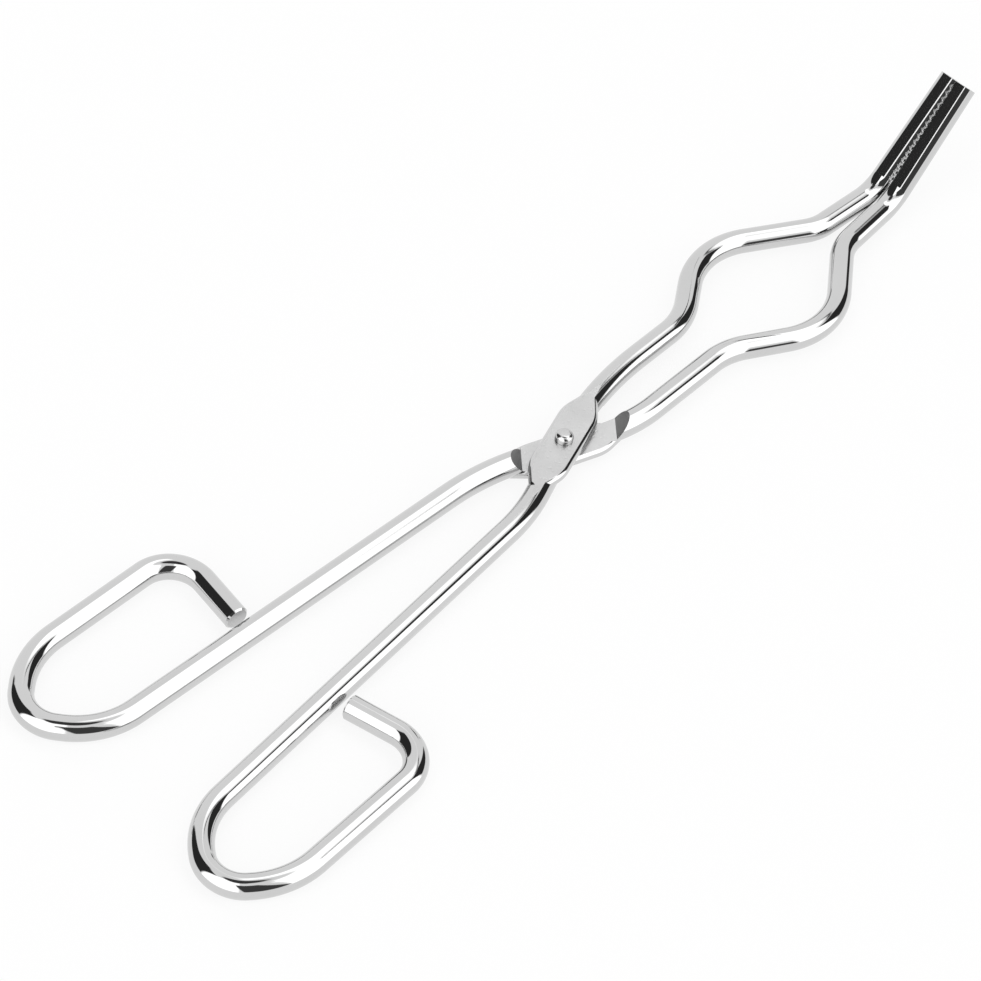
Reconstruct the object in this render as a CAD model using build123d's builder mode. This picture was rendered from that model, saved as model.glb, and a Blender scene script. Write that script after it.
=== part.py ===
"""Crucible tongs: two bent rod arms that cross in a half lap and turn on one rivet.

Units are millimetres. +X runs to the jaws, +Z is up, the way the jaw tips bend, and the
pivot axis is the Z axis. Z = 0 is the flat underside of the rivet, which rests on the bench.
"""

from build123d import *
import os
from math import cos, radians, sin, tan
from typing import NamedTuple

# Rod and fits
rod_diameter = 5.0
rod_radius = rod_diameter / 2
cut_end_chamfer = 0.35
lap_clearance = 0.05
jaw_clearance = 0.05
pin_clearance = 0.04

# Rivet
pin_radius = 1.45
head_radius = 1.85
head_height = 1.6
head_edge_round = 1.1
tail_radius = 2.2
tail_height = 1.3
tail_edge_chamfer = 0.6

# Heights: the arms' middle plane lies above the rivet's flat underside
land_depth = 2.38
middle = tail_height + land_depth

# The crossing run, from the neck to the handle, seen from above
crossing_angle = 20.0
neck_offset = 5.55
handle_offset = 5.3

# Pressed pivot pad: a long lens with bulging sides
pad_half_length = 17.0
pad_half_width = 4.0
pad_corner = 8.2
pad_corner_round = 9.0
pad_end_round = 1.75
pad_side_round = 1.3
land_half_length = 13.0
land_run_out = 4.0
shoulder_skew = 45.0
shoulder_to_jaw = 11.0
shoulder_to_handle = 8.3

# Bow between the jaws and the neck
bow_start_x = 43.8
bow_end_x = 84.5
bow_end_y = 3.45
bow_start_bend = 16.8
bow_peak_bend = 17.0
bow_end_bend = 11.3

# Jaw tips, bent up out of the arms' plane
tip_x = 102.1
tip_y = 2.25
tip_end_y = 1.72
tip_length = 28.5
tip_angle = 45.8
tip_bend = 9.0
tip_facet_depth = 0.16
tooth_pitch = 1.5
tooth_depth = 0.5
tooth_land = 0.45
tooth_count = 16

# Finger loop
loop_side_slope = 1.7
nose_back_angle = 52.3
nose_front_angle = 39.3
nose_round = 7.35
nose_back_blend = 16.9
nose_front_blend = 19.2
leg_x = 74.3
leg_lean = 11.0
leg_corner_round = 7.7
leg_gap = 1.4


class ArmShape(NamedTuple):
    """What differs between the two arms, because each is bent by hand."""

    neck_bend: float
    handle_bend: float
    pad_turn: float
    bow_peak_x: float
    bow_peak_y: float
    handle_angle: float
    nose_x: float
    nose_y: float
    loop_width_y: float


upper_shape = ArmShape(80.0, 45.0, 2.5, 61.4, 16.85, 4.25, 126.7, 25.95, 34.1)
lower_shape = ArmShape(35.0, 60.0, 0.5, 65.1, 17.45, 3.1, 125.1, 24.2, 32.9)


def meet(point_a, angle_a, point_b, angle_b):
    """Return where two lines in plan meet, each given by a point and its angle in degrees."""
    ax, ay = point_a
    bx, by = point_b
    dax, day = cos(radians(angle_a)), sin(radians(angle_a))
    dbx, dby = cos(radians(angle_b)), sin(radians(angle_b))
    step = ((bx - ax) * dby - (by - ay) * dbx) / (dax * dby - day * dbx)
    return (ax + step * dax, ay + step * day)


def arm_corners(shape):
    """Return the corners of an arm's centreline in plan, each with its bend radius.

    The arm is drawn with its jaw on the +Y side. The line runs from the start of the tip
    bend back along the bow, the neck and the handle, and round the finger loop.
    """
    neck = meet((0, 0), crossing_angle, (0, neck_offset), 0)
    handle = meet((0, 0), crossing_angle, (0, -handle_offset), shape.handle_angle)
    nose = (-shape.nose_x, -shape.nose_y)
    back = meet(nose, nose_back_angle, (0, -handle_offset), shape.handle_angle)
    side = (-leg_x, -shape.loop_width_y)
    front = meet(nose, -nose_front_angle, side, loop_side_slope)
    leg_top = meet(side, 90 + leg_lean, (0, -handle_offset), shape.handle_angle)
    reach = rod_radius + leg_gap
    leg_end = (leg_top[0] + reach * sin(radians(leg_lean)), leg_top[1] - reach)
    return [
        ((bow_end_x, bow_end_y), bow_end_bend),
        ((shape.bow_peak_x, shape.bow_peak_y), bow_peak_bend),
        ((bow_start_x, neck_offset), bow_start_bend),
        (neck, shape.neck_bend),
        (handle, shape.handle_bend),
        (back, nose_back_blend),
        (nose, nose_round),
        (front, nose_front_blend),
        (side, leg_corner_round),
        (leg_end, 0),
    ]


def arm_line(jaw_side, shape):
    """Return the flat part of an arm's centreline as one wire."""
    corners = arm_corners(shape)
    start = tip_bend_start()
    points = [start] + [corner for corner, _ in corners]
    with BuildLine(Plane.XY.offset(middle)) as line:
        Polyline(*[(x, jaw_side * y) for x, y in points])
        for (x, y), bend in corners[:-1]:
            here = line.vertices().sort_by_distance((x, jaw_side * y, middle))[0]
            fillet(here, bend)
    return line.wires()[0]


def tip_frame(jaw_side):
    """Return the tip corner and the two unit directions that meet there."""
    corner = Vector(tip_x, jaw_side * tip_y, middle)
    back = Vector(bow_end_x, jaw_side * bow_end_y, middle) - corner
    rise = Vector(
        tip_length * cos(radians(tip_angle)),
        jaw_side * (tip_end_y - tip_y),
        tip_length * sin(radians(tip_angle)),
    )
    return corner, back.normalized(), rise.normalized()


def tip_bend_start():
    """Return the plan point where the tip bend begins on the +Y arm."""
    corner, back, _ = tip_frame(1)
    start = corner + back * tip_bend * tan(radians(tip_angle / 2))
    return (start.X, start.Y)


def tip_line(jaw_side):
    """Return the centreline of the bend and the straight jaw tip, out of the arms' plane."""
    corner, back, rise = tip_frame(jaw_side)
    reach = tip_bend * tan(radians(tip_angle / 2))
    start = corner + back * reach
    bent = corner + rise * reach
    end = corner + rise * tip_length
    with BuildLine() as line:
        TangentArc(start, bent, tangent=-back)
        Line(bent, end)
    return line.wires()[0]


def rod(centreline):
    """Return a round rod swept along a centreline."""
    with BuildPart() as bar:
        with BuildSketch(Plane(origin=centreline @ 0, z_dir=centreline % 0)):
            Circle(rod_radius)
        sweep(path=centreline)
    return bar.part


def run_plane(jaw_side):
    """Return the middle plane with its X axis along the arm's crossing run."""
    turn = radians(jaw_side * crossing_angle)
    return Plane(origin=(0, 0, middle), x_dir=(cos(turn), sin(turn), 0), z_dir=(0, 0, 1))


def pivot_pad(jaw_side, lap_side, shape):
    """Return the widened pad that the press leaves on the arm's outer half at the pivot."""
    turned = run_plane(jaw_side).rotated((0, 0, -jaw_side * shape.pad_turn))
    with BuildPart() as pad:
        with BuildSketch(turned.offset(lap_side * land_depth / 2)) as outline:
            Polygon(
                (-pad_half_length, 0),
                (-pad_corner, -pad_half_width),
                (pad_corner, -pad_half_width),
                (pad_half_length, 0),
                (pad_corner, pad_half_width),
                (-pad_corner, pad_half_width),
                align=None,
            )
            fillet(outline.vertices().sort_by_distance((0, 0, 0))[4:], pad_end_round)
            fillet(outline.vertices().sort_by_distance((0, 0, 0))[:4], pad_corner_round)
        extrude(amount=pad_side_round + 0.01, both=True)
        fillet(pad.faces().filter_by(Axis.Z).edges(), pad_side_round)
        split(bisect_by=Plane.XY.offset(middle), keep=Keep.TOP if lap_side > 0 else Keep.BOTTOM)
    return pad.part


def outer_land(jaw_side, lap_side):
    """Return the tool that presses the shallow flat land on the arm's outer side."""
    plane = run_plane(jaw_side)
    side = Plane(origin=plane.origin, x_dir=plane.x_dir, z_dir=-plane.y_dir)
    high = rod_radius + 0.5
    end = land_half_length + land_run_out * (high - land_depth) / (rod_radius - land_depth)
    with BuildPart() as tool:
        with BuildSketch(side):
            Polygon(
                (-end, lap_side * high),
                (-land_half_length, lap_side * land_depth),
                (land_half_length, lap_side * land_depth),
                (end, lap_side * high),
                align=None,
            )
        extrude(amount=rod_diameter, both=True)
    return tool.part


def lap_notch(jaw_side, lap_side):
    """Return the tool that removes the inner half of the arm, with sloping shoulders."""
    turn = radians(jaw_side * shoulder_skew)
    across = Plane(
        origin=(0, 0, middle),
        x_dir=(cos(turn), sin(turn), 0),
        z_dir=(sin(turn), -cos(turn), 0),
    )
    deep = rod_radius + 0.5
    with BuildPart() as tool:
        with BuildSketch(across):
            Polygon(
                (-shoulder_to_handle, lap_side * lap_clearance),
                (shoulder_to_jaw, lap_side * lap_clearance),
                (shoulder_to_jaw + deep, -lap_side * deep),
                (-shoulder_to_handle - deep, -lap_side * deep),
                align=None,
            )
        extrude(amount=4 * rod_diameter, both=True)
    return tool.part


def jaw_plane():
    """Return the plane with X along the jaw tips, Y across them and Z out of their inner bend."""
    rise = radians(tip_angle)
    return Plane(
        origin=(tip_x, 0, middle),
        x_dir=(cos(rise), 0, sin(rise)),
        z_dir=(-sin(rise), 0, cos(rise)),
    )


def jaw_facet():
    """Return the tool that presses the narrow facet along the inner side of the tip bend."""
    start = tip_bend * tan(radians(tip_angle / 2))
    with BuildPart() as tool:
        with BuildSketch(jaw_plane().offset(rod_radius - tip_facet_depth)):
            with Locations((start, 0)):
                Rectangle(tip_length, 4 * rod_diameter, align=(Align.MIN, Align.CENTER))
        extrude(amount=rod_diameter)
    return tool.part


def jaw_teeth(jaw_side, shift):
    """Return the tool that cuts the flat gripping face and its row of cross teeth."""
    width = tooth_pitch - tooth_land
    back = -rod_diameter
    last = tip_length - tooth_pitch
    with BuildPart() as tool:
        with BuildSketch(jaw_plane()):
            with Locations((-3 * rod_diameter, jaw_side * (back + jaw_clearance) / 2)):
                Rectangle(
                    tip_length + 6 * rod_diameter,
                    jaw_clearance - back,
                    align=(Align.MIN, Align.CENTER),
                )
            for index in range(tooth_count):
                place = last - (index + shift) * tooth_pitch
                Polygon(
                    (place - width / 2, jaw_side * back / 4),
                    (place + width / 2, jaw_side * back / 4),
                    (place + width / 2, jaw_side * jaw_clearance),
                    (place, jaw_side * (jaw_clearance + tooth_depth)),
                    (place - width / 2, jaw_side * jaw_clearance),
                    align=None,
                )
        extrude(amount=2 * rod_diameter, both=True)
    return tool.part


def cut_end(arm, loop_side):
    """Return the sawn end face of an arm's leg, inside its finger loop."""
    inside = (-leg_x, loop_side * upper_shape.loop_width_y / 2, middle)
    return arm.faces().filter_by(GeomType.PLANE).sort_by_distance(inside)[0]


# Upper arm: its jaw is on the +Y side and its lap lies on top
with BuildPart() as upper_arm:
    add(rod(arm_line(1, upper_shape)))
    add(rod(tip_line(1)))
    add(pivot_pad(1, 1, upper_shape))
    add(outer_land(1, 1), mode=Mode.SUBTRACT)
    add(lap_notch(1, 1), mode=Mode.SUBTRACT)
    add(jaw_facet(), mode=Mode.SUBTRACT)
    add(jaw_teeth(1, 0), mode=Mode.SUBTRACT)
    leg_end = cut_end(upper_arm, -1)
    chamfer(leg_end.edges(), cut_end_chamfer)
    with Locations((0, 0, middle)):
        Hole(pin_radius + pin_clearance)

# Lower arm: its jaw is on the -Y side and its lap lies underneath
with BuildPart() as lower_arm:
    add(rod(arm_line(-1, lower_shape)))
    add(rod(tip_line(-1)))
    add(pivot_pad(-1, -1, lower_shape))
    add(outer_land(-1, -1), mode=Mode.SUBTRACT)
    add(lap_notch(-1, -1), mode=Mode.SUBTRACT)
    add(jaw_facet(), mode=Mode.SUBTRACT)
    add(jaw_teeth(-1, 0.5), mode=Mode.SUBTRACT)
    leg_end = cut_end(lower_arm, 1)
    chamfer(leg_end.edges(), cut_end_chamfer)
    with Locations((0, 0, middle)):
        Hole(pin_radius)

# Rivet: a headed pin, peened over under the lower arm
with BuildPart() as pivot_rivet:
    Cylinder(tail_radius, tail_height, align=(Align.CENTER, Align.CENTER, Align.MIN))
    chamfer(pivot_rivet.edges().sort_by(Axis.Z)[0], tail_edge_chamfer)
    with BuildSketch(Plane.XY.offset(tail_height)):
        Circle(pin_radius)
    extrude(amount=2 * land_depth + lap_clearance)
    with BuildSketch(Plane.XY.offset(tail_height + 2 * land_depth + lap_clearance)):
        Circle(head_radius)
    extrude(amount=head_height)
    fillet(pivot_rivet.edges().sort_by(Axis.Z)[-1], head_edge_round)

upper_arm.part.label = "upper_arm"
lower_arm.part.label = "lower_arm"
pivot_rivet.part.label = "pivot_rivet"

os.makedirs("parts", exist_ok=True)
export_step(upper_arm.part, "parts/upper_arm.step")
export_step(lower_arm.part, "parts/lower_arm.step")
export_step(pivot_rivet.part, "parts/pivot_rivet.step")
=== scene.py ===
"""Crucible tongs in polished rod, seen in a white studio.

Each arm is one bent rod, pressed flat where it crosses the other and toothed at its jaw, and
the rivet that joins them has a turned head. Sizes are in metres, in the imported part's frame:
+X runs to the jaws, +Z is the way the jaw tips bend, and the pivot axis is the Z axis.
"""

import logging
import math
from dataclasses import dataclass
from enum import Enum

import bmesh
import bpy
from mathutils import Matrix, Vector


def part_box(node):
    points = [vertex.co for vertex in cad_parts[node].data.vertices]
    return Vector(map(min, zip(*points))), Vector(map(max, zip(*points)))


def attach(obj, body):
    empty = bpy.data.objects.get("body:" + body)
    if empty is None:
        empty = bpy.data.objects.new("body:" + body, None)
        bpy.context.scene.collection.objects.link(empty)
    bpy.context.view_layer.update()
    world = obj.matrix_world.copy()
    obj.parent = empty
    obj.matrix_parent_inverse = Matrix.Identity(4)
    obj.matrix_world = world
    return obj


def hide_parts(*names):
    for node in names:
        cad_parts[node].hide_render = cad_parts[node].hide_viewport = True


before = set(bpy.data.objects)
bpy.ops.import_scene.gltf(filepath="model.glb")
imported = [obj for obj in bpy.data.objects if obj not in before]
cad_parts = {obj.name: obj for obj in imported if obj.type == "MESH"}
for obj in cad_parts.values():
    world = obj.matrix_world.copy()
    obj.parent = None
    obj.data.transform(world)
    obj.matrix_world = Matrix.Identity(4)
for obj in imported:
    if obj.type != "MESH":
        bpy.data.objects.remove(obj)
log = logging.getLogger("tongs")

MM = 0.001
WHITE = (1, 1, 1, 1)
Socket = bpy.types.NodeSocket


# Mesh helpers


def mesh_object(name: str, mesh: bpy.types.Mesh) -> bpy.types.Object:
    """Put a mesh in the scene.

    Args:
        name: The object's name.
        mesh: Its mesh, already in place.

    Returns:
        The new object.
    """
    made = bpy.data.objects.new(name, mesh)
    bpy.context.scene.collection.objects.link(made)
    return made


def turned_axes(degrees: float) -> tuple[Vector, Vector]:
    """Give the level directions along and across a line that is turned about the pivot.

    Args:
        degrees: The line's turn from +X towards +Y.

    Returns:
        The direction along the line, and the one a quarter turn on from it.
    """
    turn = math.radians(degrees)
    return Vector((math.cos(turn), math.sin(turn), 0)), Vector((-math.sin(turn), math.cos(turn), 0))


def level_ring(radius: float, height: float, sides: int) -> list[Vector]:
    """List the points of a level circle round the pivot axis.

    Args:
        radius: The circle's radius.
        height: Its height above the frame's origin.
        sides: The number of its points.

    Returns:
        The points, anticlockwise from +X.
    """
    ring = []
    for step in range(sides):
        turn = math.tau * step / sides
        ring.append(Vector((radius * math.cos(turn), radius * math.sin(turn), height)))
    return ring


def ringed(name: str, rings: list[list[Vector]]) -> bpy.types.Object:
    """Make a closed skin over rings of equal length, with a flat cap at each end.

    Args:
        name: The object's name.
        rings: The rings from one end to the other.

    Returns:
        The skinned object, with its faces outwards.
    """
    shape = bmesh.new()
    rows = [[shape.verts.new(point) for point in ring] for ring in rings]
    for low, high in zip(rows, rows[1:]):
        for index in range(len(low)):
            after = (index + 1) % len(low)
            shape.faces.new((low[index], low[after], high[after], high[index]))
    shape.faces.new(rows[0])
    shape.faces.new(rows[-1])
    bmesh.ops.recalc_face_normals(shape, faces=shape.faces)
    mesh = bpy.data.meshes.new(name)
    shape.to_mesh(mesh)
    shape.free()
    return mesh_object(name, mesh)


def prism(name: str, outline: list[Vector], along: Vector) -> bpy.types.Object:
    """Make a closed prism from a flat outline, pushed both ways along a direction.

    Args:
        name: The object's name.
        outline: The corners of the outline, in order.
        along: Half of the prism's length, as a direction.

    Returns:
        The prism, with its faces outwards.
    """
    return ringed(name, [[point - along for point in outline], [point + along for point in outline]])


def rounded_outline(
    corners: list[tuple[float, float, float]], steps: int
) -> list[tuple[Vector, Vector]]:
    """Round the corners of a convex outline, listed anticlockwise.

    Args:
        corners: Each corner's two coordinates and its rounding radius.
        steps: The number of steps in each rounding.

    Returns:
        The outline's points, each with its outward direction.
    """
    outline = []
    for index, (x, y, radius) in enumerate(corners):
        corner = Vector((x, y))
        before = (Vector(corners[index - 1][:2]) - corner).normalized()
        after = (Vector(corners[(index + 1) % len(corners)][:2]) - corner).normalized()
        half = before.angle(after) / 2
        centre = corner + (before + after).normalized() * radius / math.sin(half)
        first = math.atan2(before.x, -before.y)
        for step in range(steps + 1):
            turn = first + (math.pi - 2 * half) * step / steps
            out = Vector((math.cos(turn), math.sin(turn)))
            outline.append((centre + out * radius, out))
    return outline


def settle(piece: bpy.types.Object) -> None:
    """Turn a piece's modifiers into its plain mesh.

    Args:
        piece: The object to settle.
    """
    bpy.context.view_layer.update()
    seen = piece.evaluated_get(bpy.context.evaluated_depsgraph_get())
    mesh = bpy.data.meshes.new_from_object(seen)
    piece.modifiers.clear()
    piece.data = mesh


def carve(piece: bpy.types.Object, tool: bpy.types.Object, operation: str = "DIFFERENCE") -> None:
    """Cut a tool out of a piece, or join it on, and clear the tool away.

    Args:
        piece: The object that keeps the result.
        tool: The tool, which is removed.
        operation: The kind of cut, as the Boolean modifier names it.
    """
    step = piece.modifiers.new("cut", "BOOLEAN")
    step.operation = operation
    step.solver = "EXACT"
    step.object = tool
    settle(piece)
    bpy.data.objects.remove(tool)


def shape_with(piece: bpy.types.Object, tree: bpy.types.NodeTree, sizes: dict[str, object]) -> None:
    """Run a piece through a Geometry Nodes tree and keep the result as its plain mesh.

    Args:
        piece: The object to shape.
        tree: The tree.
        sizes: The value of each input, by the name that the tree gives it.
    """
    shaping = piece.modifiers.new(tree.name, "NODES")
    shaping.node_group = tree
    for item in tree.interface.items_tree:
        if item.in_out == "INPUT" and item.name in sizes:
            shaping[item.identifier] = sizes[item.name]
    settle(piece)


# Node trees


class Tree:
    """A node tree under construction, with short calls to add and feed its nodes."""

    def __init__(self, tree: bpy.types.NodeTree) -> None:
        """Start on a tree.

        Args:
            tree: The tree that is built.
        """
        self.tree = tree

    def add(
        self, kind: str, feeds: dict[str | int, object] | None = None, **settings: object
    ) -> bpy.types.Node:
        """Add a node.

        Args:
            kind: The node's type name.
            feeds: What goes into its inputs: plain values, or outputs of other nodes.
            settings: Properties of the node.

        Returns:
            The new node.
        """
        node = self.tree.nodes.new(kind)
        for key, value in settings.items():
            setattr(node, key, value)
        for key, value in (feeds or {}).items():
            if isinstance(value, Socket):
                self.tree.links.new(value, node.inputs[key])
            else:
                node.inputs[key].default_value = value
        return node

    def maths(self, operation: str, *values: object) -> Socket:
        """Add a Math node over plain values and outputs, and give its output."""
        return self.add("ShaderNodeMath", dict(enumerate(values)), operation=operation).outputs[0]


class ShapingTree(Tree):
    """A Geometry Nodes tree with named inputs, which ends in real geometry with a finish."""

    def __init__(self, name: str, sizes: dict[str, str], result: str) -> None:
        """Start a tree and its input node.

        Args:
            name: The tree's name.
            sizes: The kind of each input by its name. The finish comes after them.
            result: The name of the shape that the tree gives.
        """
        super().__init__(bpy.data.node_groups.new(name, "GeometryNodeTree"))
        sockets = self.tree.interface
        for label, kind in {**sizes, "Finish": "Material"}.items():
            sockets.new_socket(name=label, in_out="INPUT", socket_type=f"NodeSocket{kind}")
        sockets.new_socket(name=result, in_out="OUTPUT", socket_type="NodeSocketGeometry")
        self.given = self.add("NodeGroupInput").outputs

    def end(self, shape: Socket) -> bpy.types.NodeTree:
        """End the tree.

        Args:
            shape: The shape that it gives.

        Returns:
            The finished tree.
        """
        real = self.add("GeometryNodeRealizeInstances", {"Geometry": shape})
        feeds = {"Geometry": real.outputs["Geometry"], "Material": self.given["Finish"]}
        finish = self.add("GeometryNodeSetMaterial", feeds)
        self.add("NodeGroupOutput", {0: finish.outputs["Geometry"]})
        return self.tree


def rod_tree() -> bpy.types.NodeTree:
    """Build the tree that rounds a line's corners and draws a round rod along it.

    Returns:
        The tree, with the rod's radius and the fineness of its bends as inputs.
    """
    sizes = {"Line": "Geometry", "Rod radius": "Float", "Sides": "Int", "Rows in a bend": "Int"}
    nodes = ShapingTree("bent_rod", sizes, "Rod")
    bend, scale = (
        nodes.add("GeometryNodeInputNamedAttribute", {"Name": name}, data_type="FLOAT")
        for name in ("bend_radius", "rod_scale")
    )
    line = nodes.add("GeometryNodeMeshToCurve", {"Mesh": nodes.given["Line"]})
    feeds = {
        "Curve": line.outputs["Curve"],
        "Radius": bend.outputs["Attribute"],
        "Count": nodes.given["Rows in a bend"],
    }
    rounded = nodes.add("GeometryNodeFilletCurve", feeds, mode="POLY")
    feeds = {"Resolution": nodes.given["Sides"], "Radius": nodes.given["Rod radius"]}
    section = nodes.add("GeometryNodeCurvePrimitiveCircle", feeds, mode="RADIUS")
    feeds = {
        "Curve": rounded.outputs["Curve"],
        "Profile Curve": section.outputs["Curve"],
        "Scale": scale.outputs["Attribute"],
        "Fill Caps": True,
    }
    rod = nodes.add("GeometryNodeCurveToMesh", feeds)
    smooth = nodes.add("GeometryNodeSetShadeSmooth", {"Geometry": rod.outputs["Mesh"]})
    return nodes.end(smooth.outputs["Geometry"])


def row_tree() -> bpy.types.NodeTree:
    """Build the tree that repeats a shape in an even row.

    Returns:
        The tree, with the count and the step from one to the next as inputs.
    """
    sizes = {"Shape": "Geometry", "Count": "Int", "Step": "Vector"}
    nodes = ShapingTree("tooth_row", sizes, "Row")
    feeds = {"Count": nodes.given["Count"], "Offset": nodes.given["Step"]}
    places = nodes.add("GeometryNodeMeshLine", feeds, mode="OFFSET")
    feeds = {"Points": places.outputs["Mesh"], "Instance": nodes.given["Shape"]}
    row = nodes.add("GeometryNodeInstanceOnPoints", feeds)
    return nodes.end(row.outputs["Instances"])


def bare_tree(owner: bpy.types.Material | bpy.types.World) -> Tree:
    """Empty the node tree of a new material or world, ready to build on.

    Args:
        owner: The material or world.

    Returns:
        Its tree.
    """
    owner.use_nodes = True
    owner.node_tree.nodes.clear()
    return Tree(owner.node_tree)


# Finishes


@dataclass(frozen=True)
class Steel:
    """A bare steel finish: its tone, its gloss and the marks that its making left.

    The grain is the fine relief, its size in metres. The mottle is how far the tone drifts in
    soft clouds, and the pits are the strength of the small dents.
    """

    name: str
    tone: float
    roughness: float
    grain: float
    grain_size: float
    mottle: float = 0.03
    pits: float = 0.0
    grain_depth: float = 0.05 * MM
    gloss_spread: float = 0.3
    clouds_per_metre: float = 90.0
    pits_per_metre: float = 900.0
    pit_edge: tuple[float, float] = (0.05, 0.28)
    pit_depth: float = 0.06 * MM

    def material(self) -> bpy.types.Material:
        """Give the finish as a node material on Object coordinates, built at its first use.

        Returns:
            The material.
        """
        made = bpy.data.materials.get(self.name)
        if made:
            return made
        made = bpy.data.materials.new(self.name)
        made.use_nodes = True
        nodes = Tree(made.node_tree)
        shader = made.node_tree.nodes["Principled BSDF"]
        shader.inputs["Metallic"].default_value = 1.0
        place = nodes.add("ShaderNodeTexCoord").outputs["Object"]
        feeds = {"Vector": place, "Scale": self.clouds_per_metre, "Detail": 4.0}
        cloud = nodes.add("ShaderNodeTexNoise", feeds).outputs["Fac"]
        feeds = {"Vector": place, "Scale": 1.0 / self.grain_size, "Detail": 6.0, "Roughness": 0.65}
        fine = nodes.add("ShaderNodeTexNoise", feeds).outputs["Fac"]
        tone = self.between(nodes, cloud, self.tone - self.mottle, self.tone + self.mottle)
        colour = nodes.add("ShaderNodeCombineColor", {"Red": tone, "Green": tone, "Blue": tone})
        dullest, brightest = 1 + self.gloss_spread, 1 - self.gloss_spread
        gloss = self.between(nodes, fine, self.roughness * brightest, self.roughness * dullest)
        feeds = {"Strength": self.grain, "Distance": self.grain_depth, "Height": fine}
        relief = nodes.add("ShaderNodeBump", feeds)
        if self.pits:
            relief = self.pitted(nodes, place, relief)
        nodes.tree.links.new(colour.outputs["Color"], shader.inputs["Base Color"])
        nodes.tree.links.new(gloss, shader.inputs["Roughness"])
        nodes.tree.links.new(relief.outputs["Normal"], shader.inputs["Normal"])
        return made

    def between(self, nodes: Tree, share: Socket, low: float, high: float) -> Socket:
        """Give the value at a share of the way from a low to a high one."""
        feeds = {"Value": share, "To Min": low, "To Max": high}
        return nodes.add("ShaderNodeMapRange", feeds).outputs["Result"]

    def pitted(self, nodes: Tree, place: Socket, relief: bpy.types.Node) -> bpy.types.Node:
        """Lay small dents over a relief.

        Args:
            nodes: The material's tree.
            place: The coordinates.
            relief: The node of the relief beneath.

        Returns:
            The node of the relief with its dents.
        """
        feeds = {"Vector": place, "Scale": self.pits_per_metre}
        spots = nodes.add("ShaderNodeTexVoronoi", feeds)
        inner, outer = self.pit_edge
        feeds = {"Value": spots.outputs["Distance"], "From Min": inner, "From Max": outer}
        edge = nodes.add("ShaderNodeMapRange", feeds)
        feeds = {
            "Strength": self.pits,
            "Distance": self.pit_depth,
            "Height": edge.outputs["Result"],
            "Normal": relief.outputs["Normal"],
        }
        return nodes.add("ShaderNodeBump", feeds)


class Surface(Enum):
    """The finishes on an arm, in the order of its material slots."""

    POLISHED = Steel("polished_rod", tone=0.62, roughness=0.05, grain=0.05, grain_size=1.5 * MM)
    PRESSED = Steel(
        "satin_pressed_pad", tone=0.6, roughness=0.3, grain=0.35, grain_size=0.2 * MM,
        mottle=0.14, pits=0.45,
    )
    SAWN = Steel("sawn_rod_end", tone=0.62, roughness=0.42, grain=0.6, grain_size=0.15 * MM)
    TOOTHED = Steel("toothed_jaw", tone=0.6, roughness=0.12, grain=0.1, grain_size=0.3 * MM)
    # The lap shoulder has half the tone of the other steel. This is painted shade for the recess
    # between the arms, laid over a real rough, scuffed finish.
    SHOULDER = Steel(
        "scuffed_lap_shoulder_painted_shade", tone=0.3, roughness=0.5, grain=0.5, grain_size=0.2 * MM,
        mottle=0.08,
    )


PEENED = Steel("rivet_head", tone=0.6, roughness=0.14, grain=0.35, grain_size=0.5 * MM)


# Arms


class Arm(Enum):
    """The two arms, by the side of the tongs on which their jaw lies."""

    UPPER = 1
    LOWER = -1

    @property
    def node(self) -> str:
        """The name of the arm's CAD node."""
        return f"{self.name.lower()}_arm"

    @property
    def body(self) -> str:
        """The name of the body that the arm turns with."""
        return self.name.lower()


@dataclass(frozen=True)
class HandBends:
    """What differs between the two arms, because each is bent by hand."""

    neck_bend: float
    handle_bend: float
    pad_turn: float
    bow_peak: tuple[float, float]
    handle_angle: float
    nose: tuple[float, float]
    loop_width: float


UPPER_BENDS = HandBends(
    neck_bend=80.0 * MM,
    handle_bend=45.0 * MM,
    pad_turn=2.5,
    bow_peak=(61.4 * MM, 16.85 * MM),
    handle_angle=4.25,
    nose=(126.7 * MM, 25.95 * MM),
    loop_width=34.1 * MM,
)
LOWER_BENDS = HandBends(
    neck_bend=35.0 * MM,
    handle_bend=60.0 * MM,
    pad_turn=0.5,
    bow_peak=(65.1 * MM, 17.45 * MM),
    handle_angle=3.1,
    nose=(125.1 * MM, 24.2 * MM),
    loop_width=32.9 * MM,
)


@dataclass(frozen=True)
class FaceLimits:
    """How near a face lies to a place, or looks in a direction, to take a worked finish.

    The looks are cosines of the angle between the face's normal and the direction.
    """

    pivot_reach: float = 24 * MM
    level_look: float = 0.9995
    level_depth: float = 0.02 * MM
    lap_depth: float = 0.1 * MM
    lap_look: float = 0.6
    shoulder_look: float = math.sqrt(0.5)
    shoulder_spread: float = 0.02
    tooth_reach: float = 1.05
    tooth_look: float = 0.2
    end_look: float = 0.99


def meet(
    point_a: tuple[float, float], angle_a: float, point_b: tuple[float, float], angle_b: float
) -> tuple[float, float]:
    """Find where two lines in plan meet.

    Args:
        point_a: A point of the first line.
        angle_a: Its direction in degrees.
        point_b: A point of the second line.
        angle_b: Its direction in degrees.

    Returns:
        The meeting point.
    """
    ax, ay = point_a
    bx, by = point_b
    dax, day = math.cos(math.radians(angle_a)), math.sin(math.radians(angle_a))
    dbx, dby = math.cos(math.radians(angle_b)), math.sin(math.radians(angle_b))
    step = ((bx - ax) * dby - (by - ay) * dbx) / (dax * dby - day * dbx)
    return (ax + step * dax, ay + step * day)


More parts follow.
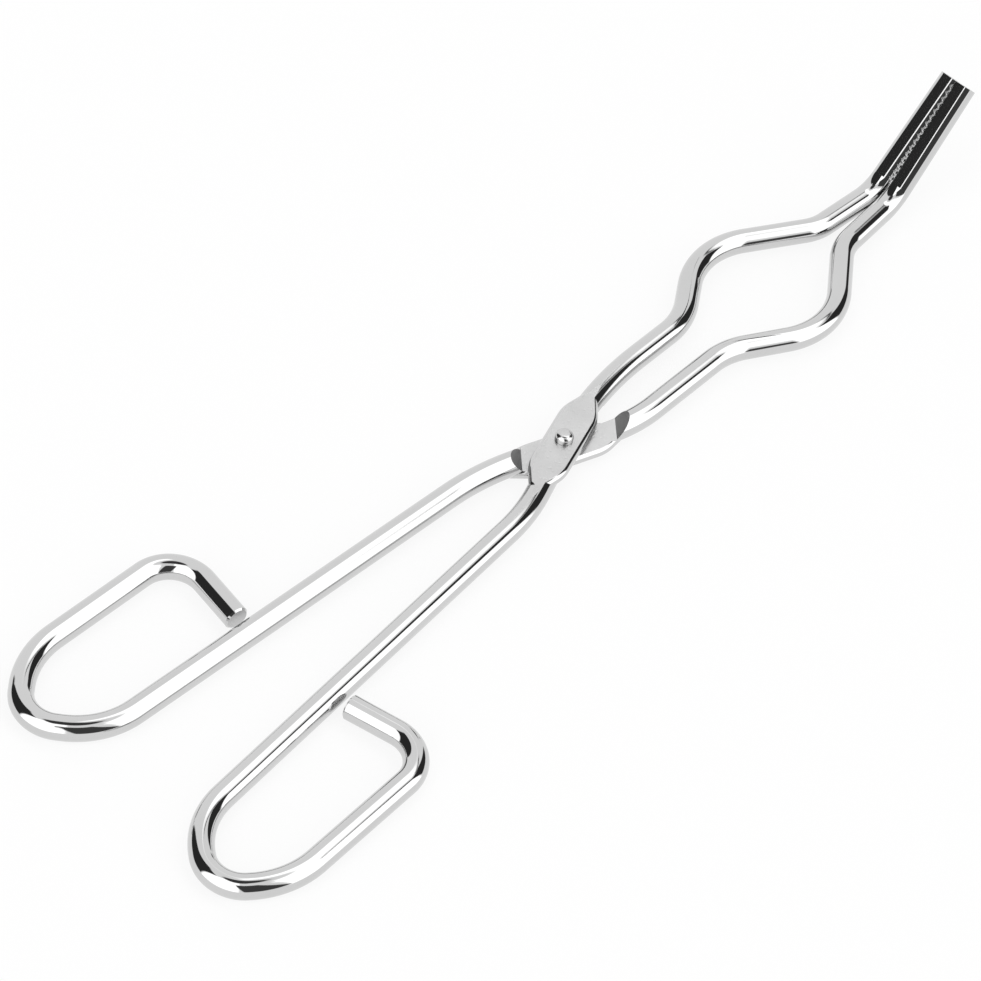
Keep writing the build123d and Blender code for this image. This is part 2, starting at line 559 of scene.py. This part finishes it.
@dataclass
class TongArm:
    """One arm: a bent rod with a pressed pad and half lap at the pivot and a toothed jaw.

    Places are in plan, for an arm whose jaw is on the +Y side, and the other arm mirrors
    them. A bend, a round or a blend is a radius. Angles and slopes are in degrees.
    """

    side: Arm
    bends: HandBends
    tooth_shift: float
    rod_radius: float = 2.5 * MM
    middle: float = 3.68 * MM
    crossing_angle: float = 20.0
    neck_offset: float = 5.55 * MM
    handle_offset: float = 5.3 * MM
    bow_start_x: float = 43.8 * MM
    bow_end: tuple[float, float] = (84.5 * MM, 3.45 * MM)
    bow_start_bend: float = 16.8 * MM
    bow_peak_bend: float = 17.0 * MM
    bow_end_bend: float = 11.3 * MM
    tip_x: float = 102.1 * MM
    tip_y: float = 2.25 * MM
    tip_end_y: float = 1.72 * MM
    tip_length: float = 28.5 * MM
    tip_angle: float = 45.8
    tip_bend: float = 9.0 * MM
    facet_depth: float = 0.16 * MM
    loop_side_slope: float = 1.7
    nose_back_angle: float = 52.3
    nose_front_angle: float = 39.3
    nose_round: float = 7.35 * MM
    nose_back_blend: float = 16.9 * MM
    nose_front_blend: float = 19.2 * MM
    leg_x: float = 74.3 * MM
    leg_lean: float = 11.0
    leg_corner_round: float = 7.7 * MM
    leg_gap: float = 1.4 * MM
    end_chamfer: float = 0.35 * MM
    pad_half_length: float = 17.0 * MM
    pad_half_width: float = 4.0 * MM
    pad_corner: float = 8.2 * MM
    pad_corner_round: float = 9.0 * MM
    pad_end_round: float = 1.75 * MM
    pad_side_round: float = 1.3 * MM
    land_depth: float = 2.38 * MM
    land_half_length: float = 13.0 * MM
    land_run_out: float = 4.0 * MM
    shoulder_skew: float = 45.0
    shoulder_to_jaw: float = 11.0 * MM
    shoulder_to_handle: float = 8.3 * MM
    lap_clearance: float = 0.05 * MM
    jaw_clearance: float = 0.05 * MM
    tooth_pitch: float = 1.5 * MM
    tooth_depth: float = 0.5 * MM
    tooth_land: float = 0.45 * MM
    tooth_count: int = 16
    hole_radius: float = 1.49 * MM
    tool_excess: float = 0.5 * MM
    rod_sides: int = 128
    hole_sides: int = 96
    bend_rows: int = 40
    pad_corner_rows: int = 12
    pad_side_rows: int = 24
    crease: float = 16.0
    limits: FaceLimits = FaceLimits()

    @property
    def sign(self) -> int:
        """+1 where the jaw is on the +Y side, and -1 where it is on the -Y side."""
        return self.side.value

    def corners(self) -> list[tuple[Vector, float]]:
        """List the corners of the rod's centreline from the jaw tip to the cut leg.

        Returns:
            Each corner with its bend radius.
        """
        slope = self.bends.handle_angle
        start = (0.0, -self.handle_offset)
        neck = meet((0, 0), self.crossing_angle, (0, self.neck_offset), 0)
        handle = meet((0, 0), self.crossing_angle, start, slope)
        nose = (-self.bends.nose[0], -self.bends.nose[1])
        back = meet(nose, self.nose_back_angle, start, slope)
        side = (-self.leg_x, -self.bends.loop_width)
        front = meet(nose, -self.nose_front_angle, side, self.loop_side_slope)
        leg_top = meet(side, 90 + self.leg_lean, start, slope)
        reach = self.rod_radius + self.leg_gap
        leg_end = (leg_top[0] + reach * math.sin(math.radians(self.leg_lean)), leg_top[1] - reach)
        flat = [
            ((self.tip_x, self.tip_y), self.tip_bend),
            (self.bow_end, self.bow_end_bend),
            (self.bends.bow_peak, self.bow_peak_bend),
            ((self.bow_start_x, self.neck_offset), self.bow_start_bend),
            (neck, self.bends.neck_bend),
            (handle, self.bends.handle_bend),
            (back, self.nose_back_blend),
            (nose, self.nose_round),
            (front, self.nose_front_blend),
            (side, self.leg_corner_round),
            (leg_end, 0.0),
        ]
        line = [(Vector((x, self.sign * y, self.middle)), bend) for (x, y), bend in flat]
        rise = math.radians(self.tip_angle)
        tip_end_x = self.tip_x + self.tip_length * math.cos(rise)
        tip_end_z = self.middle + self.tip_length * math.sin(rise)
        return [(Vector((tip_end_x, self.sign * self.tip_end_y, tip_end_z)), 0.0)] + line

    def rod(self) -> bpy.types.Object:
        """Bend the rod along its centreline, with a small chamfer at the leg's sawn end.

        Returns:
            The round rod.
        """
        corners = self.corners()
        end, before = corners[-1][0], corners[-2][0]
        lead = (before - end).normalized() * self.end_chamfer
        corners.insert(-1, (end + lead, 0.0))
        mesh = bpy.data.meshes.new(self.side.node)
        count = len(corners)
        edges = [(index, index + 1) for index in range(count - 1)]
        mesh.from_pydata([corner for corner, _ in corners], edges, [])
        bend = mesh.attributes.new("bend_radius", "FLOAT", "POINT")
        bend.data.foreach_set("value", [radius for _, radius in corners])
        scale = mesh.attributes.new("rod_scale", "FLOAT", "POINT")
        cut = 1 - self.end_chamfer / self.rod_radius
        scale.data.foreach_set("value", [1.0] * (count - 1) + [cut])
        piece = mesh_object(f"{self.side.node}_rod", mesh)
        sizes = {
            "Rod radius": self.rod_radius,
            "Sides": self.rod_sides,
            "Rows in a bend": self.bend_rows,
            "Finish": Surface.POLISHED.value.material(),
        }
        shape_with(piece, bpy.data.node_groups.get("bent_rod") or rod_tree(), sizes)
        return piece

    def outwards(self, along: Vector, places: list[tuple[float, float]]) -> list[Vector]:
        """Set an outline upright on a level line through the pivot.

        Args:
            along: The line's direction.
            places: Each point's place along the line, and its depth from the arm's middle
                plane, which is positive towards the arm's outer side.

        Returns:
            The points.
        """
        return [along * x + Vector((0, 0, self.middle + self.sign * z)) for x, z in places]

    def pad(self) -> bpy.types.Object:
        """Make the widened pad that the press leaves on the arm's outer half at the pivot.

        Returns:
            The pad, a long lens with bulging sides, from the middle plane outwards.
        """
        along, across = turned_axes(self.sign * (self.crossing_angle - self.bends.pad_turn))
        reach, corner, wide = self.pad_half_length, self.pad_corner, self.pad_half_width
        corners = [
            (reach, 0.0, self.pad_end_round),
            (corner, wide, self.pad_corner_round),
            (-corner, wide, self.pad_corner_round),
            (-reach, 0.0, self.pad_end_round),
            (-corner, -wide, self.pad_corner_round),
            (corner, -wide, self.pad_corner_round),
        ]
        outline = rounded_outline(corners, self.pad_corner_rows)
        low = -math.asin(self.land_depth / 2 / self.pad_side_round)
        rings = []
        for step in range(self.pad_side_rows + 1):
            lean = low + (math.pi / 2 - low) * step / self.pad_side_rows
            inset = self.pad_side_round * (1 - math.cos(lean))
            height = self.land_depth / 2 + self.pad_side_round * math.sin(lean)
            lift = Vector((0, 0, self.middle + self.sign * height))
            places = [point - out * inset for point, out in outline]
            rings.append([along * place.x + across * place.y + lift for place in places])
        return ringed("pad", rings)

    def land_tool(self) -> bpy.types.Object:
        """Make the tool that presses the shallow flat land on the arm's outer side.

        Returns:
            The tool.
        """
        along, across = turned_axes(self.sign * self.crossing_angle)
        high = self.rod_radius + self.tool_excess
        ramp = self.land_run_out * (high - self.land_depth) / (self.rod_radius - self.land_depth)
        end = self.land_half_length + ramp
        places = [
            (-end, high),
            (-self.land_half_length, self.land_depth),
            (self.land_half_length, self.land_depth),
            (end, high),
        ]
        return prism("land_tool", self.outwards(along, places), across * 2 * self.rod_radius)

    def lap_tool(self) -> bpy.types.Object:
        """Make the tool that removes the inner half of the arm, with sloping shoulders.

        Returns:
            The tool.
        """
        along, across = turned_axes(self.sign * self.shoulder_skew)
        deep = self.rod_radius + self.tool_excess
        places = [
            (-self.shoulder_to_handle, self.lap_clearance),
            (self.shoulder_to_jaw, self.lap_clearance),
            (self.shoulder_to_jaw + deep, -deep),
            (-self.shoulder_to_handle - deep, -deep),
        ]
        return prism("lap_tool", self.outwards(along, places), across * 8 * self.rod_radius)

    def jaw_axes(self) -> tuple[Vector, Vector, Vector]:
        """Place the jaw's tip, which bends upwards.

        Returns:
            The corner where the tip starts, the direction along it and the one out of the
            inner side of its bend.
        """
        rise = math.radians(self.tip_angle)
        along = Vector((math.cos(rise), 0, math.sin(rise)))
        out = Vector((-math.sin(rise), 0, math.cos(rise)))
        return Vector((self.tip_x, 0, self.middle)), along, out

    def grip_tool(self) -> bpy.types.Object:
        """Make the tool that cuts the flat gripping face.

        Returns:
            The tool.
        """
        corner, along, out = self.jaw_axes()
        inner = Vector((0, self.sign, 0))
        reach = 6 * self.rod_radius
        places = [
            (-reach, -2 * self.rod_radius),
            (self.tip_length + reach, -2 * self.rod_radius),
            (self.tip_length + reach, self.jaw_clearance),
            (-reach, self.jaw_clearance),
        ]
        outline = [corner + along * x + inner * y for x, y in places]
        return prism("grip_tool", outline, out * 4 * self.rod_radius)

    def teeth_tool(self) -> bpy.types.Object:
        """Make the row of grooves between the cross teeth.

        Returns:
            The grooves as one tool.
        """
        corner, along, out = self.jaw_axes()
        inner = Vector((0, self.sign, 0))
        half = (self.tooth_pitch - self.tooth_land) / 2
        first = self.tip_length - (1 + self.tooth_shift) * self.tooth_pitch
        places = [
            (-half, -self.rod_radius / 2),
            (half, -self.rod_radius / 2),
            (half, self.jaw_clearance),
            (0.0, self.jaw_clearance + self.tooth_depth),
            (-half, self.jaw_clearance),
        ]
        outline = [corner + along * (first + x) + inner * y for x, y in places]
        tool = prism("teeth_tool", outline, out * 4 * self.rod_radius)
        sizes = {
            "Count": self.tooth_count,
            "Step": along * -self.tooth_pitch,
            "Finish": Surface.TOOTHED.value.material(),
        }
        shape_with(tool, bpy.data.node_groups.get("tooth_row") or row_tree(), sizes)
        return tool

    def facet_tool(self) -> bpy.types.Object:
        """Make the tool that presses the narrow facet along the inner side of the tip bend.

        Returns:
            The tool.
        """
        corner, along, out = self.jaw_axes()
        start = self.tip_bend * math.tan(math.radians(self.tip_angle / 2))
        end = start + self.tip_length
        low = self.rod_radius - self.facet_depth
        places = [(start, low), (end, low), (end, 3 * low), (start, 3 * low)]
        outline = [corner + along * x + out * z for x, z in places]
        return prism("facet_tool", outline, Vector((0, 4 * self.rod_radius, 0)))

    def hole_tool(self) -> bpy.types.Object:
        """Make the drill for the rivet's hole, from below the arm to above it.

        Returns:
            The drill.
        """
        heights = (-self.middle, 3 * self.middle)
        rings = [level_ring(self.hole_radius, height, self.hole_sides) for height in heights]
        return ringed("hole_tool", rings)

    def build(self) -> bpy.types.Object:
        """Bend, press, lap, tooth and drill the arm.

        Returns:
            The finished arm.
        """
        piece = self.rod()
        carve(piece, self.pad(), "UNION")
        carve(piece, self.land_tool())
        carve(piece, self.lap_tool())
        carve(piece, self.facet_tool())
        carve(piece, self.grip_tool())
        carve(piece, self.teeth_tool())
        carve(piece, self.hole_tool())
        piece.data.name = piece.name
        self.dress(piece)
        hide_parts(self.side.node)
        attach(piece, self.side.body)
        return piece

    def surface_at(self, centre: Vector, normal: Vector) -> Surface:
        """Name the finish of a face from where it lies and which way it looks.

        Args:
            centre: The face's centre.
            normal: Its direction.

        Returns:
            The finish.
        """
        limits = self.limits
        height = (centre.z - self.middle) * self.sign
        if math.hypot(centre.x, centre.y) < limits.pivot_reach:
            high = height > self.land_depth - limits.level_depth
            if high and abs(normal.z) > limits.level_look:
                return Surface.PRESSED
            if height < limits.lap_depth and normal.z * self.sign < -limits.lap_look:
                return self.lap_finish(height, normal)
        if centre.x > self.bow_end[0]:
            _, along, out = self.jaw_axes()
            near = abs(centre.y) < self.jaw_clearance + limits.tooth_reach * self.tooth_depth
            if near and abs(normal.dot(out)) < limits.tooth_look:
                return Surface.TOOTHED
            if normal.dot(along) > limits.end_look:
                return Surface.SAWN
        end, before = self.corners()[-1][0], self.corners()[-2][0]
        looks = normal.dot((end - before).normalized())
        if (centre - end).length < self.rod_radius and looks > limits.end_look:
            return Surface.SAWN
        return Surface.POLISHED

    def lap_finish(self, height: float, normal: Vector) -> Surface:
        """Name the finish of a face inside the lap: its flat, a sloping shoulder or the rod.

        Args:
            height: The face's depth from the arm's middle plane.
            normal: Its direction.

        Returns:
            The finish.
        """
        limits = self.limits
        along, _ = turned_axes(self.sign * self.shoulder_skew)
        flat = abs(height - self.lap_clearance) < limits.level_depth
        if flat and abs(normal.z) > limits.level_look:
            return Surface.PRESSED
        looks = (abs(normal.dot(along)), abs(normal.z))
        if all(abs(look - limits.shoulder_look) < limits.shoulder_spread for look in looks):
            return Surface.SHOULDER
        return Surface.POLISHED

    def dress(self, piece: bpy.types.Object) -> None:
        """Give each face its finish, and crease the edges between flats.

        Args:
            piece: The finished arm.
        """
        piece.data.materials.clear()
        slots = {surface: index for index, surface in enumerate(Surface)}
        for surface in slots:
            piece.data.materials.append(surface.value.material())
        for face in piece.data.polygons:
            face.material_index = slots[self.surface_at(face.center, face.normal)]
            face.use_smooth = True
        piece.data.set_sharp_from_angle(angle=math.radians(self.crease))


# Rivet


@dataclass
class PivotRivet:
    """The rivet: a turned head on the upper arm and a tail peened under the lower one."""

    pin_radius: float = 1.45 * MM
    head_radius: float = 1.85 * MM
    head_height: float = 1.6 * MM
    head_round: float = 1.1 * MM
    tail_radius: float = 2.2 * MM
    tail_height: float = 1.3 * MM
    tail_chamfer: float = 0.6 * MM
    grip: float = 4.81 * MM
    sides: int = 128
    round_rows: int = 12
    crease: float = 30.0

    def profile(self) -> list[tuple[float, float]]:
        """List the rivet's outline as radius and height, from its foot to its crown.

        Returns:
            The outline's points.
        """
        shoulder = self.tail_height + self.grip
        top = shoulder + self.head_height
        line = [
            (self.tail_radius - self.tail_chamfer, 0.0),
            (self.tail_radius, self.tail_chamfer),
            (self.tail_radius, self.tail_height),
            (self.pin_radius, self.tail_height),
            (self.pin_radius, shoulder),
            (self.head_radius, shoulder),
        ]
        for step in range(self.round_rows + 1):
            turn = math.radians(90 * step / self.round_rows)
            radius = self.head_radius - self.head_round * (1 - math.cos(turn))
            line.append((radius, top - self.head_round * (1 - math.sin(turn))))
        return line

    def build(self) -> bpy.types.Object:
        """Turn the rivet and seat it in the pivot.

        Returns:
            The finished rivet.
        """
        rings = [level_ring(radius, height, self.sides) for radius, height in self.profile()]
        piece = ringed("pivot_rivet_turned", rings)
        piece.data.materials.append(PEENED.material())
        for face in piece.data.polygons:
            face.use_smooth = True
        piece.data.set_sharp_from_angle(angle=math.radians(self.crease))
        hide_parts("pivot_rivet")
        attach(piece, "lower")
        return piece


# Studio


@dataclass(frozen=True)
class Panel:
    """A panel of the studio as the polished steel sees it, by its place round the tongs.

    Its place and size are in degrees, and its lean is how far it shifts sideways as it rises.
    """

    name: str
    azimuth: float
    elevation: float
    half_width: float
    half_height: float
    light: float
    edge: float = 3.0
    lean: float = 0.0

    def over(self, nodes: Tree, azimuth: Socket, elevation: Socket, below: Socket) -> Socket:
        """Lay the panel over what is behind it.

        Args:
            nodes: The world's tree.
            azimuth: The direction round the tongs, in degrees.
            elevation: The direction above the table, in degrees.
            below: The light of what is behind the panel.

        Returns:
            The light with the panel on top.
        """
        rise = nodes.maths("SUBTRACT", elevation, self.elevation)
        slant = nodes.maths("MULTIPLY", rise, self.lean)
        turn = nodes.maths("SUBTRACT", nodes.maths("SUBTRACT", azimuth, self.azimuth), slant)
        around = nodes.maths("WRAP", turn, 180.0, -180.0)
        wide = self.inside(nodes, around, self.half_width)
        high = self.inside(nodes, rise, self.half_height)
        feeds = {"Factor": nodes.maths("MULTIPLY", wide, high), "A": below, "B": self.light}
        blend = nodes.add("ShaderNodeMix", feeds, data_type="FLOAT", label=self.name)
        return blend.outputs["Result"]

    def inside(self, nodes: Tree, value: Socket, half: float) -> Socket:
        """Tell the panel from what is beside it, with the panel's soft edge.

        Args:
            nodes: The world's tree.
            value: How far a direction is from the panel's middle.
            half: Half of the panel's size that way.

        Returns:
            1 on the panel and 0 beside it.
        """
        feeds = {
            "Value": nodes.maths("ABSOLUTE", value),
            "From Min": half - self.edge / 2,
            "From Max": half + self.edge / 2,
            "To Min": 1.0,
            "To Max": 0.0,
        }
        step = nodes.add("ShaderNodeMapRange", feeds, interpolation_type="SMOOTHSTEP")
        return step.outputs["Result"]


PANELS = (
    Panel("left_softbox", -178, 35, 37, 41, light=1.8, edge=5),
    Panel("front_softbox", -66, 31, 26, 30, light=1.8, edge=5),
    Panel("high_softbox", -22, 61, 60, 8, light=1.8, edge=4),
    Panel("near_flag", -120, 32, 21, 27, light=0.06, edge=4, lean=-0.35),
    Panel("far_flag", -22, 28, 19, 20, light=0.03, edge=3, lean=-0.2),
    Panel("side_flag", 116, 34, 27, 32, light=0.03, edge=3),
    Panel("open_roof", 0, 92, 400, 15, light=0.05, edge=4),
    Panel("ceiling_rail", 0, 50, 20, 1.0, light=0.1, edge=1.5),
)


@dataclass
class Studio:
    """White walls with softboxes, black flags and a white table that keeps a faint shadow."""

    wall: float = 1.0
    table_size: float = 6.0
    table_tone: float = 0.995
    shadow: float = 0.15
    card_place: tuple[float, float, float] = (83.4 * MM, 13.1 * MM, 49.6 * MM)
    card_faces: tuple[float, float, float] = (117.8 * MM, -3.7 * MM, 26 * MM)
    card_size: tuple[float, float] = (30 * MM, 44 * MM)
    card_light: float = 0.03

    def light_room(self) -> None:
        """Set the walls, softboxes and flags round the tongs.

        The steel and the table see them, and the camera sees plain white.
        """
        world = bpy.data.worlds.new("white_studio")
        bpy.context.scene.world = world
        nodes = bare_tree(world)
        place = nodes.add("ShaderNodeTexCoord").outputs["Generated"]
        parts = nodes.add("ShaderNodeSeparateXYZ", {"Vector": place}).outputs
        turn = nodes.maths("ARCTAN2", parts["Y"], parts["X"])
        azimuth = nodes.maths("MULTIPLY", turn, math.degrees(1))
        elevation = nodes.maths("MULTIPLY", nodes.maths("ARCSINE", parts["Z"]), math.degrees(1))
        light = nodes.add("ShaderNodeValue").outputs[0]
        light.default_value = self.wall
        for panel in PANELS:
            light = panel.over(nodes, azimuth, elevation, light)
        room = nodes.add("ShaderNodeBackground", {"Color": WHITE, "Strength": light})
        seen = nodes.add("ShaderNodeBackground", {"Color": WHITE})
        camera = nodes.add("ShaderNodeLightPath").outputs["Is Camera Ray"]
        feeds = {0: camera, 1: room.outputs[0], 2: seen.outputs[0]}
        choice = nodes.add("ShaderNodeMixShader", feeds)
        nodes.add("ShaderNodeOutputWorld", {"Surface": choice.outputs[0]})

    def sheet(self, name: str, corners: list, finish: str) -> tuple[bpy.types.Object, Tree]:
        """Make a flat sheet with a bare material, which isn't part of the tongs.

        Args:
            name: The sheet's name.
            corners: Its four corners, in order.
            finish: The material's name.

        Returns:
            The sheet, and its material's tree.
        """
        mesh = bpy.data.meshes.new(name)
        mesh.from_pydata(corners, [], [(0, 1, 2, 3)])
        material = bpy.data.materials.new(finish)
        mesh.materials.append(material)
        return mesh_object(name, mesh), bare_tree(material)

    def lay_table(self) -> bpy.types.Object:
        """Lay the white table under the rivet and the two finger loops.

        Returns:
            The table.
        """
        half = self.table_size / 2
        square = [(-half, -half, 0), (half, -half, 0), (half, half, 0), (-half, half, 0)]
        table, nodes = self.sheet("table", square, "white_table")
        loops_x, _, loops_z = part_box("upper_arm")[0]
        table.data.transform(Matrix.Rotation(math.atan2(loops_z, -loops_x), 4, "Y"))
        cloth = nodes.add("ShaderNodeBsdfDiffuse", {"Color": (self.table_tone,) * 3 + (1,)})
        plain = nodes.add("ShaderNodeEmission", {"Strength": 1.0})
        path = nodes.add("ShaderNodeLightPath").outputs
        either = nodes.maths("MAXIMUM", path["Is Camera Ray"], path["Is Glossy Ray"])
        share = nodes.maths("MULTIPLY", either, 1 - self.shadow)
        blend = nodes.add("ShaderNodeMixShader", {0: share, 1: cloth.outputs[0], 2: plain.outputs[0]})
        nodes.add("ShaderNodeOutputMaterial", {"Surface": blend.outputs[0]})
        return table

    def hang_card(self) -> bpy.types.Object:
        """Hang the small black card that only the jaw tips' mirror finish shows.

        Returns:
            The card.
        """
        centre = Vector(self.card_place)
        facing = (centre - Vector(self.card_faces)).normalized()
        across = Vector((0, 0, 1)).cross(facing).normalized()
        up = facing.cross(across)
        wide, high = self.card_size
        sides = ((-1, -1), (1, -1), (1, 1), (-1, 1))
        corners = [centre + across * x * wide / 2 + up * y * high / 2 for x, y in sides]
        card, nodes = self.sheet("black_card", corners, "black_card")
        felt = nodes.add("ShaderNodeEmission", {"Strength": self.card_light})
        nodes.add("ShaderNodeOutputMaterial", {"Surface": felt.outputs[0]})
        card.visible_camera = False
        card.visible_diffuse = False
        card.visible_shadow = False
        card.visible_transmission = False
        return card


@dataclass(frozen=True)
class Viewpoint:
    """The photograph's viewpoint: a long lens, looking down across the tongs.

    The offset is where the pivot's foot lies from the camera: right, down and ahead.
    """

    azimuth: float = 55.76
    elevation: float = 48.54
    roll: float = 9.85
    offset: tuple[float, float, float] = (13.669 * MM, -6.169 * MM, 883.834 * MM)
    focal_pixels: float = 4500.0
    image_pixels: float = 981.0
    sensor: float = 36.0
    nearest: float = 0.01
    farthest: float = 20.0

    def place(self) -> bpy.types.Object:
        """Set up the camera.

        Returns:
            The camera, which is the scene's own.
        """
        turn, rise = math.radians(self.azimuth), math.radians(self.elevation)
        right = Vector((math.cos(turn), -math.sin(turn), 0))
        level = Vector((math.sin(turn), math.cos(turn), 0))
        ahead = level * math.cos(rise) - Vector((0, 0, math.sin(rise)))
        up = level * math.sin(rise) + Vector((0, 0, math.cos(rise)))
        tilt = math.radians(self.roll)
        image_x = right * math.cos(tilt) + up * math.sin(tilt)
        image_y = up * math.cos(tilt) - right * math.sin(tilt)
        x, y, z = self.offset
        spot = -(image_x * x - image_y * y + ahead * z)
        data = bpy.data.cameras.new("photograph_camera")
        data.sensor_width = self.sensor
        data.lens = self.focal_pixels * self.sensor / self.image_pixels
        data.clip_start = self.nearest
        data.clip_end = self.farthest
        camera = bpy.data.objects.new("photograph_camera", data)
        bpy.context.scene.collection.objects.link(camera)
        turned = Matrix((image_x, image_y, -ahead)).transposed().to_4x4()
        camera.matrix_world = Matrix.Translation(spot) @ turned
        bpy.context.scene.camera = camera
        return camera


def main() -> None:
    """Build the tongs and the studio, and report each piece."""
    logging.basicConfig(level=logging.INFO, format="%(name)s: %(message)s")
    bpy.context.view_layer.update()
    builders = [
        TongArm(Arm.UPPER, UPPER_BENDS, tooth_shift=0.0),
        TongArm(Arm.LOWER, LOWER_BENDS, tooth_shift=0.5),
        PivotRivet(),
    ]
    for builder in builders:
        piece = builder.build()
        log.info("%s has %d faces", piece.name, len(piece.data.polygons))
    studio = Studio()
    studio.light_room()
    studio.lay_table()
    studio.hang_card()
    Viewpoint().place()
    bpy.context.scene.view_settings.view_transform = "Standard"


if __name__ == "__main__":
    main()
